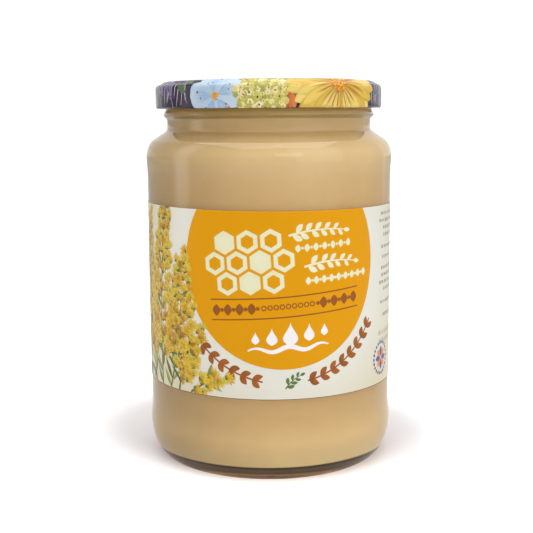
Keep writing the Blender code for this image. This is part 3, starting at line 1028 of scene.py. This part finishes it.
def laySpray(stems, under, blooms, draw):
    level = 0.0
    for root, tip, bow, twigs, longest in spray["spikes"]:
        path = bentPath(root, tip, bow, 60)
        length = float(np.hypot(*(path[-1] - path[0])))
        layRibbon(stems, path, np.linspace(0.42, 0.14, len(path)), 0.25)
        for k in range(int(length / 3.6)):
            at = int(draw.uniform(0.0, 0.75) * (len(path) - 2))
            heading = headingAt(path, at) + draw.choice((-1, 1)) * draw.uniform(0.4, 0.95)
            layPetal(stems, path[at], heading, draw.uniform(5.0, 10.0), draw.uniform(1.0, 1.9),
                     draw.random(), draw.uniform(-0.5, 0.5), 0.45, 1.0, 0.004 + 0.001 * k)
        for k in range(twigs + 1):
            share = spray["bareShare"] + (1.0 - spray["bareShare"]) * k / twigs
            at = min(int(share * (len(path) - 2)), len(path) - 2)
            side = 1 if k % 2 else -1
            rise = 1.0 - k / (twigs + 1)
            heading = headingAt(path, at) + side * (0.25 + 0.75 * rise)
            share = spray["tipShare"] + (1.0 - spray["tipShare"]) * rise
            reach = longest * share * draw.uniform(0.8, 1.15)
            end = path[at] + reach * wayTo(heading)
            twig = bentPath(path[at], end, side * 0.12 * reach, 14)
            layRibbon(stems, twig, np.linspace(0.2, 0.1, len(twig)), 0.35, 0.003)
            count = int(0.95 * reach) + 2
            for spot in range(count):
                along = 0.15 + 0.85 * spot / (count - 1)
                base = twig[int(along * (len(twig) - 1))]
                turn = heading - side * 0.35 + draw.uniform(-0.7, 0.7)
                base = base + np.array((draw.uniform(-1.2, 1.2), draw.uniform(-0.8, 1.5)))
                size = spray["floret"] * draw.uniform(0.7, 1.2) * (0.75 + 0.25 * rise)
                layFloret(under, blooms, base, turn, size, draw.uniform(0.0, 0.55) + 0.45 * along,
                          level, draw)
                level = (level + 0.0017) % 0.09


def makeLabelPrint():
    draw = random.Random(labelPrint["seed"])
    inks = labelPrint["inks"]
    sheets = {name: newSheet(labelPoint, *size) for name, (ink, size, shades, look) in inks.items()}
    layDisc(sheets["sunDisc"])
    reach = label["halfLength"] - 0.05
    # painted shadow lines along the label's lower and upper edges
    for side, (rise, half, tone) in zip(("bottom", "top"), labelPrint["edgeShadowLines"]):
        height = label[side] + rise
        layLine(sheets["labelEdge"], ((-reach, height), (reach, height)), half, tone)
    layComb(sheets["combAndSprigs"])
    for sprig in labelPrint["sprigs"]:
        laySprig(sheets["combAndSprigs"], *sprig)
    for row in labelPrint["seedRows"]:
        laySeeds(sheets["combAndSprigs"], *row)
    for rule in labelPrint["rules"]:
        layLine(sheets["rulesAndSeeds"], rule, labelPrint["ruleHalf"])
    laySeeds(sheets["rulesAndSeeds"], *labelPrint["middleRow"])
    layDrops(sheets["honeyDrops"])
    layGarland(sheets["leafGarland"])
    laySprig(sheets["greenSprig"], *labelPrint["lowSprig"])
    layDashes(sheets["greyDashes"], labelPrint["dashRows"], 0.62, draw, 1.0)
    layDashes(sheets["paleDashes"], labelPrint["paleRows"], 0.95, draw, 0.4)
    layRosette(sheets["rosettePetals"], sheets["rosetteDots"])
    laySpray(sheets["sprayStems"], sheets["sprayShade"], sheets["sprayBlooms"], draw)
    for name, (ink, size, shades, look) in inks.items():
        finishSheet(name, sheets[name], inkMaterial(ink, shades, **look))


makeLabelPrint()
print("label print ready")


# lid print

lidPrint = {
    "seed": 11,                         # of all that is drawn at random on the lid
    "start": -9.5,                      # degrees from the front to the first floret cluster
    "repeats": 3,
    # below, places are degrees after the cluster and how far out on the flat sheet
    "rimCluster": (0.0, 46.5, 10.4),    # place and radius
    "rimFlower": (-22.5, 47.2, 11.4),
    "rimFlowerTurn": 150.0,
    "daisyReach": 42.5,
    "daisies": ((39.0, 21.8), (40.0, 19.0), (27.0, 12.0)),    # degrees and radius, one for each repeat
    "rimSpikes": ((-43.5, 44.0), (-49.5, 46.0), (-56.0, 43.5), (-63.0, 45.5)),
    "blades": (14, -40.0, -2.6),        # number, first place and step in degrees
    # place, heading, length, tone
    "leaves": ((9.5, 40.0, 10.0, 8.0, 0.5), (15.5, 45.5, -50.0, 4.0, 0.35), (-13.5, 41.0, 60.0, 7.5, 0.9),
               (-37.0, 42.0, 100.0, 6.0, 0.3), (73.0, 41.5, 30.0, 7.0, 0.2)),
    "bud": (13.6, 45.0, -78.0),         # place and heading
    "panelFlower": (62.0, 20.5, 8.0),
    "panelCluster": (-4.0, 22.0, 6.6),
    "panelSpikes": (26.0, 13.0, 14.0),  # place to both sides and length
    "middleDaisy": 11.0,
    "step": 0.55,                       # longest side of a cell of print
    # for each ink: height over the lid, shades, unevenness, shade of a petal's root and of its edges
    "inks": {
        "stalk": (0.03, [(120, 122, 112), (188, 186, 194)], 0.1, 1.0, 1.0),
        "lavender": (0.036, [(78, 60, 104), (108, 90, 142), (150, 138, 178)], 0.15, 0.8, 0.85),
        "leaf": (0.045, [(60, 86, 54), (104, 134, 84), (196, 192, 100)], 0.18, 0.85, 0.8),
        "bud": (0.06, [(196, 96, 52), (220, 124, 66)], 0.12, 0.85, 0.8),
        "gold": (0.065, [(214, 168, 52), (230, 196, 84), (242, 218, 128)], 0.12, 0.88, 0.8),
        "crease": (0.115, [(178, 118, 36), (206, 152, 60)], 0.1, 1.0, 1.0),
        "blue": (0.08, [(176, 200, 222), (200, 218, 234), (216, 228, 238)], 0.06, 0.9, 0.94),
        "vein": (0.12, [(150, 180, 212), (172, 198, 222)], 0.06, 1.0, 1.0),
        "cluster": (0.1, [(168, 172, 84), (206, 196, 96), (232, 218, 140), (240, 234, 190)],
                    0.1, 0.82, 0.95),
        "speck": (0.165, [(92, 56, 40), (206, 128, 50), (236, 176, 60)], 0.1, 1.0, 1.0),
    },
}


def lidSpot(degrees, reach):
    return wayFrom(math.radians(degrees)) * reach


def layBroadFlower(sheets, middle, radius, turn, draw):
    # five broad petals with veins and a few dots
    for k in range(5):
        heading = turn + 2 * math.pi * k / 5
        way = wayTo(heading)
        layPetal(sheets["blue"], middle + way * 0.3, heading, radius, 0.98 * radius,
                 draw.uniform(0.2, 0.9), 0.0, 0.66, 0.62, 0.006 * k)
        for vein in range(9):
            fan = (vein - 4) * 0.125
            length = radius * (0.84 - 0.5 * abs(fan))
            layPetal(sheets["vein"], middle + way * 1.2, heading + fan, length, 0.34, draw.random(),
                     -0.35 * fan, 0.45, 1.0, 0.0)
        for _ in range(3):
            spot = middle + way * radius * draw.uniform(0.4, 0.8)
            spot = spot + np.array((-way[1], way[0])) * radius * draw.uniform(-0.28, 0.28)
            layDot(sheets["speck"], spot, draw.uniform(0.25, 0.45), draw.uniform(0.1, 0.5))
    for k in range(12):
        spot = middle + np.array((draw.gauss(0, 1), draw.gauss(0, 1))) * radius * 0.06
        layDot(sheets["speck"], spot, 0.045 * radius, draw.uniform(0.6, 1.0), 0.002 * k)


def layDaisy(sheets, middle, radius, draw):
    # two rounds of narrow petals round a middle of dots
    for layer, (count, share) in enumerate(((30, 1.0), (23, 0.82))):
        for k in range(count):
            heading = 2 * math.pi * (k + 0.5 * layer) / count + draw.uniform(-0.04, 0.04)
            root = middle + wayTo(heading) * radius * 0.1
            length = radius * share * draw.uniform(0.88, 1.0) * 0.9
            layPetal(sheets["gold"], root, heading, length, 0.25 * radius * share, draw.random(),
                     draw.uniform(-0.08, 0.08), 0.66, 0.7, 0.04 * layer + 0.0015 * k)
            for fan in (-0.035, 0.03):
                layPetal(sheets["crease"], root, heading + fan, length * draw.uniform(0.5, 0.8),
                         0.016 * radius, draw.random(), 0.0, 0.4, 1.0, 0.035 * layer)
    for k in range(40):
        reach = radius * 0.15 * math.sqrt(k / 40)
        spot = middle + reach * wayTo(2.4 * k)
        layDot(sheets["speck"], spot, 0.024 * radius, 0.5 + 0.5 * (k % 3) / 2, 0.0004 * k)


def layCluster(sheets, middle, radius, draw):
    # an umbel of tiny florets over small pointed leaves
    for k in range(20):
        heading = 2 * math.pi * k / 20
        root = middle + wayTo(heading) * 0.72 * radius
        layPetal(sheets["leaf"], root, heading + draw.uniform(-0.3, 0.3), 0.36 * radius, 0.24 * radius,
                 draw.uniform(0.6, 1.0), 0.0, 0.4, 0.9, 0.002 * k)
    layDot(sheets["leaf"], middle, 0.88 * radius, 0.95, 0.045)
    spots = []
    for k in range(150):
        turn = 2.4 * k + draw.uniform(-0.3, 0.3)
        reach = radius * 0.97 * math.sqrt((k + draw.random()) / 150)
        spots.append(middle + reach * wayTo(turn))
    for k, spot in enumerate(spots):
        size = radius * draw.uniform(0.075, 0.13)
        turn = draw.uniform(0, 2 * math.pi)
        tone = draw.random()
        for petal in range(5):
            layPetal(sheets["cluster"], spot, turn + 2 * math.pi * petal / 5, size, 0.8 * size, tone, 0.0,
                     0.62, 0.7, 0.0005 * k)
        if k % 2 == 0:
            layDot(sheets["speck"], spot, size * 0.28, draw.choice((0.0, 0.5, 0.8, 1.0)), 0.0)


def laySpike(sheets, root, heading, length, draw):
    # a stalk with small paired petals
    end = root + length * wayTo(heading)
    path = bentPath(root, end, 0.06 * length * draw.choice((-1, 1)), 24)
    layRibbon(sheets["stalk"], path, np.full(len(path), 0.17), draw.random())
    pairs = 7
    for k in range(pairs):
        at = int((0.35 + 0.6 * k / pairs) * (len(path) - 2))
        ahead = headingAt(path, at)
        for side in (-1, 1):
            layPetal(sheets["lavender"], path[at], ahead + side * 0.7, 0.17 * length, 0.085 * length,
                     draw.random(), -side * 0.4, 0.55, 0.8, 0.001 * k)
    layPetal(sheets["lavender"], path[-2], heading, 0.16 * length, 0.08 * length, draw.random(),
             0.0, 0.5, 0.8)


def makeLidPrint():
    draw = random.Random(lidPrint["seed"])
    inks = lidPrint["inks"]
    sheets = {kind: newSheet(lidPoint, ink[0], lidPrint["step"]) for kind, ink in inks.items()}
    for k in range(lidPrint["repeats"]):
        turn = lidPrint["start"] + 360.0 * k / lidPrint["repeats"]

        def spotAt(offset, reach):
            return lidSpot(turn + offset, reach)

        offset, reach, radius = lidPrint["rimCluster"]
        layCluster(sheets, spotAt(offset, reach), radius, draw)
        offset, reach, radius = lidPrint["rimFlower"]
        layBroadFlower(sheets, spotAt(offset, reach), radius,
                       math.radians(turn + lidPrint["rimFlowerTurn"]), draw)
        offset, radius = lidPrint["daisies"][k]
        layDaisy(sheets, spotAt(offset, lidPrint["daisyReach"]), radius, draw)
        for side, (offset, reach) in enumerate(lidPrint["rimSpikes"]):
            laySpike(sheets, spotAt(offset, reach + 6.0),
                     math.radians(turn + offset + 90.0 + 12.0 * (side % 2)), 12.0, draw)
        count, first, step = lidPrint["blades"]
        for blade in range(count):
            offset = turn + first + step * blade + draw.uniform(-0.8, 0.8)
            layPetal(sheets["stalk"], lidSpot(offset, draw.uniform(39.5, 43.0)),
                     math.radians(offset - 90.0 + draw.uniform(-14.0, 14.0)), draw.uniform(6.0, 11.0),
                     0.42, 1.0, draw.uniform(-0.3, 0.3), 0.5, 0.9)
        for offset, reach, heading, size, tone in lidPrint["leaves"]:
            layPetal(sheets["leaf"], spotAt(offset, reach), math.radians(turn + heading), size,
                     0.42 * size, tone, 0.3, 0.5, 0.9)
        offset, reach, heading = lidPrint["bud"]
        for petal in range(3):
            layPetal(sheets["bud"], spotAt(offset, reach),
                     math.radians(turn + heading + 16.0 * (petal - 1)),
                     7.0, 2.6, 0.5 * petal, 0.0, 0.55, 0.8, 0.003 * petal)
        offset, reach, radius = lidPrint["panelFlower"]
        layBroadFlower(sheets, spotAt(offset, reach), radius, turn, draw)
        offset, reach, radius = lidPrint["panelCluster"]
        layCluster(sheets, spotAt(offset, reach), radius, draw)
        offset, reach, length = lidPrint["panelSpikes"]
        for side in (-1, 1):
            laySpike(sheets, spotAt(offset * side, reach), math.radians(turn + offset * side - 90.0),
                     length, draw)
    layDaisy(sheets, np.array((0.0, 0.0)), lidPrint["middleDaisy"], draw)
    for kind, (lift, shades, *look) in inks.items():
        name = "lid" + kind.capitalize()
        material = inkMaterial(name, shades, *look, gloss=lid["gloss"])
        finishSheet(name, sheets[kind], material)


makeLidPrint()
print("lid print ready")


# stage: floor, lights, camera

stage = {
    "imageSize": 533,
    "sensor": 36.0,
    "focalPixels": 1038.1,
    "distance": 402.8,
    "aside": -1.15,
    "eyeHeight": 132.03,
    "headingDegrees": -6.1,
    "pitchDegrees": 8.41,
    "rollDegrees": -0.36,
    "skyLeft": 0.30,
    "skyRight": 0.62,
    "skyBehind": 0.4,
    "skySeen": 1.05,
    "floorSize": 6.0,
    "floorRoughness": 0.7,
    "ringScale": 0.12,                 # metres from the middle to the end of both rows of rings below
    # distance from the middle and color
    # painted glow: light that the thick base gathers at its foot, as emission on the floor
    "footLight": ((0.0350, (0.0, 0.0, 0.0)), (0.0370, (0.42, 0.31, 0.19)), (0.0397, (0.42, 0.31, 0.19)),
                  (0.0406, (0.0, 0.0, 0.0))),
    # painted shadow: dark under the jar, a little rosy close to it
    "floorShadowRings": ((0.0335, (0.10, 0.09, 0.08)), (0.0375, (0.66, 0.54, 0.42)),
                   (0.0405, (0.76, 0.72, 0.745)), (0.068, (0.77, 0.755, 0.765)),
                   (0.11, (0.78, 0.78, 0.78))),
    "floorGlow": 0.70,
    "shadowPlace": (0.0, 0.030),
    "shadowTurn": -22.0,
    "shadowReach": (0.056, 0.048),
    "shadowFade": (1.0, 1.76),         # from the shadow's edge to full glow, in reaches
    # azimuth from the front, distance, height, size, power
    "lamps": {
        "sideWindow": (-91.0, 0.5, 0.28, (0.30, 0.56), 0.8),
        "frontRight": (41.0, 1.3, 0.6, (1.2, 1.2), 2.7),
        "frontGlint": (12.0, 1.0, 0.48, (0.45, 0.25), 0.5),
        "backRight": (128.0, 1.0, 0.3, (0.12, 0.8), 0.06),
        "skylight": (12.0, 0.5, 1.2, (0.2, 0.1), 0.2),
        "overhead": (10.0, 0.1, 1.1, (1.4, 1.4), 12.0),
    },
    "windowColor": (1.0, 0.90, 0.86),
    "windowFade": 0.42,
    "lampAim": 0.08,                   # every lamp faces the axis this far up
}


def makeFloor():
    bottom = bmesh.new()
    bmesh.ops.create_grid(bottom, x_segments=24, y_segments=24, size=stage["floorSize"])
    mesh = bpy.data.meshes.new("floor")
    bottom.to_mesh(mesh)
    bottom.free()
    floor = bpy.data.objects.new("floor", mesh)
    bpy.context.scene.collection.objects.link(floor)
    material, tree, shader = newMaterial("paleFloor")
    shader.inputs["Roughness"].default_value = stage["floorRoughness"]
    # rings round the middle: the floor's color with painted shadow under and close to the jar, and a
    # painted glow for light that the thick base gathers at its foot
    where = addNode(tree, "ShaderNodeTexCoord", (-900, 0)).outputs["Object"]
    away = addNode(tree, "ShaderNodeVectorMath", (-700, 100), {0: where}, operation="LENGTH")
    share = calculate(tree, "MULTIPLY", (-600, 200), away.outputs["Value"], 1.0 / stage["ringScale"])
    ground, foot = (addRamp(tree, (-500, 200 - 960 * count), share,
                            [(reach / stage["ringScale"], (*shade, 1.0)) for reach, shade in stage[kind]])
                    for count, kind in enumerate(("floorShadowRings", "footLight")))
    feed(tree, shader.inputs["Base Color"], ground)
    # an overexposed sweep: seen directly it glows, but not in the soft shadow, which is long
    # towards the left behind the jar and the right in front of it
    lean = addNode(tree, "ShaderNodeMapping", (-800, -200),
                   {"Vector": where, "Location": (*stage["shadowPlace"], 0.0),
                    "Rotation": (0.0, 0.0, math.radians(stage["shadowTurn"])),
                    "Scale": (*stage["shadowReach"], 1.0)}, vector_type="TEXTURE")
    behind = addNode(tree, "ShaderNodeVectorMath", (-620, -200), {0: lean.outputs[0]}, operation="LENGTH")
    glow = mapRange(tree, (-500, -200), behind.outputs["Value"], stage["shadowFade"],
                    (0.0, stage["floorGlow"]), interpolation_type="SMOOTHSTEP")
    path = addNode(tree, "ShaderNodeLightPath", (-500, -500))
    direct = calculate(tree, "MULTIPLY", (-300, -300), glow, path.outputs["Is Camera Ray"])
    # the painted glow at the jar's foot shines for all rays
    feed(tree, shader.inputs["Emission Color"], colorMix(tree, (-100, -500), 1.0, direct, foot, "ADD"))
    shader.inputs["Emission Strength"].default_value = 1.0
    mesh.materials.append(material)


def makeSky():
    # white all round, dimmer on the left
    world = bpy.data.worlds.new("studio")
    bpy.context.scene.world = world
    world.use_nodes = True
    tree = world.node_tree
    where = addNode(tree, "ShaderNodeTexCoord", (-900, 0))
    parts = addNode(tree, "ShaderNodeSeparateXYZ", (-700, 0), {0: where.outputs["Generated"]}).outputs
    spread = mapRange(tree, (-500, 0), parts["X"], (-1.0, 0.6), (stage["skyLeft"], stage["skyRight"]))
    rear = mapRange(tree, (-500, -300), parts["Y"], (0.45, 0.95), (0.0, stage["skyBehind"]))
    soft = tree.nodes["Background"]
    soft.inputs["Color"].default_value = (1.0, 1.0, 1.0, 1.0)
    feed(tree, soft.inputs["Strength"], calculate(tree, "ADD", (-320, 0), spread, rear))
    plain = addNode(tree, "ShaderNodeBackground", (-200, -200),
                    {"Color": (1.0, 1.0, 1.0, 1.0), "Strength": stage["skySeen"]})
    path = addNode(tree, "ShaderNodeLightPath", (-200, 300))
    mix = addNode(tree, "ShaderNodeMixShader", (100, 0),
                  {0: path.outputs["Is Camera Ray"], 1: soft.outputs[0], 2: plain.outputs[0]})
    feed(tree, tree.nodes["World Output"].inputs["Surface"], mix.outputs[0])


def fadeSides(data, share):
    # dimmer towards both upright sides, so that its reflection has soft edges
    data.use_nodes = True
    tree = data.node_tree
    spot = addNode(tree, "ShaderNodeNewGeometry", (-900, 0))
    parts = addNode(tree, "ShaderNodeSeparateXYZ", (-700, 0), {0: spot.outputs["Parametric"]}).outputs
    sides = [mapRange(tree, (-500, -200 * count), parts["X"], (near, abs(near - share)),
                      interpolation_type="SMOOTHSTEP") for count, near in enumerate((0.0, 1.0))]
    feed(tree, tree.nodes["Emission"].inputs["Strength"], calculate(tree, "MULTIPLY", (-200, 0), *sides))


def addPanelLight(name, azimuthDegrees, distance, height, size, power):
    # a softbox: azimuth from the front (-Y), positive towards +X
    angle = math.radians(azimuthDegrees)
    data = bpy.data.lights.new(name, "AREA")
    data.shape = "RECTANGLE"
    data.size, data.size_y = size
    data.energy = power
    lamp = bpy.data.objects.new(name, data)
    bpy.context.scene.collection.objects.link(lamp)
    lamp.location = (distance * math.sin(angle), -distance * math.cos(angle), height)
    back = lamp.location - Vector((0.0, 0.0, stage["lampAim"]))
    lamp.rotation_mode = "QUATERNION"
    lamp.rotation_quaternion = back.to_track_quat("Z", "Y")
    return lamp


def makeCamera():
    heading = math.radians(stage["headingDegrees"])
    data = bpy.data.cameras.new("viewer")
    data.sensor_width = stage["sensor"]
    data.lens = stage["focalPixels"] / stage["imageSize"] * stage["sensor"]
    data.clip_start, data.clip_end = 0.01, 50.0
    camera = bpy.data.objects.new("viewer", data)
    bpy.context.scene.collection.objects.link(camera)
    away, aside = stage["distance"] * mm, stage["aside"] * mm
    spot = (away * math.sin(heading) + aside * math.cos(heading),
            -away * math.cos(heading) + aside * math.sin(heading), stage["eyeHeight"] * mm)
    camera.matrix_world = (Matrix.Translation(spot) @ Matrix.Rotation(heading, 4, "Z")
                           @ Matrix.Rotation(math.radians(90.0 - stage["pitchDegrees"]), 4, "X")
                           @ Matrix.Rotation(math.radians(stage["rollDegrees"]), 4, "Z"))
    bpy.context.scene.camera = camera


makeFloor()
makeSky()
makeCamera()
lamps = {name: addPanelLight(name, *values) for name, values in stage["lamps"].items()}
lamps["sideWindow"].data.color = stage["windowColor"]
fadeSides(lamps["sideWindow"].data, stage["windowFade"])
scene = bpy.context.scene
scene.view_settings.view_transform = "Standard"
scene.view_settings.look = "None"
print("stage ready")
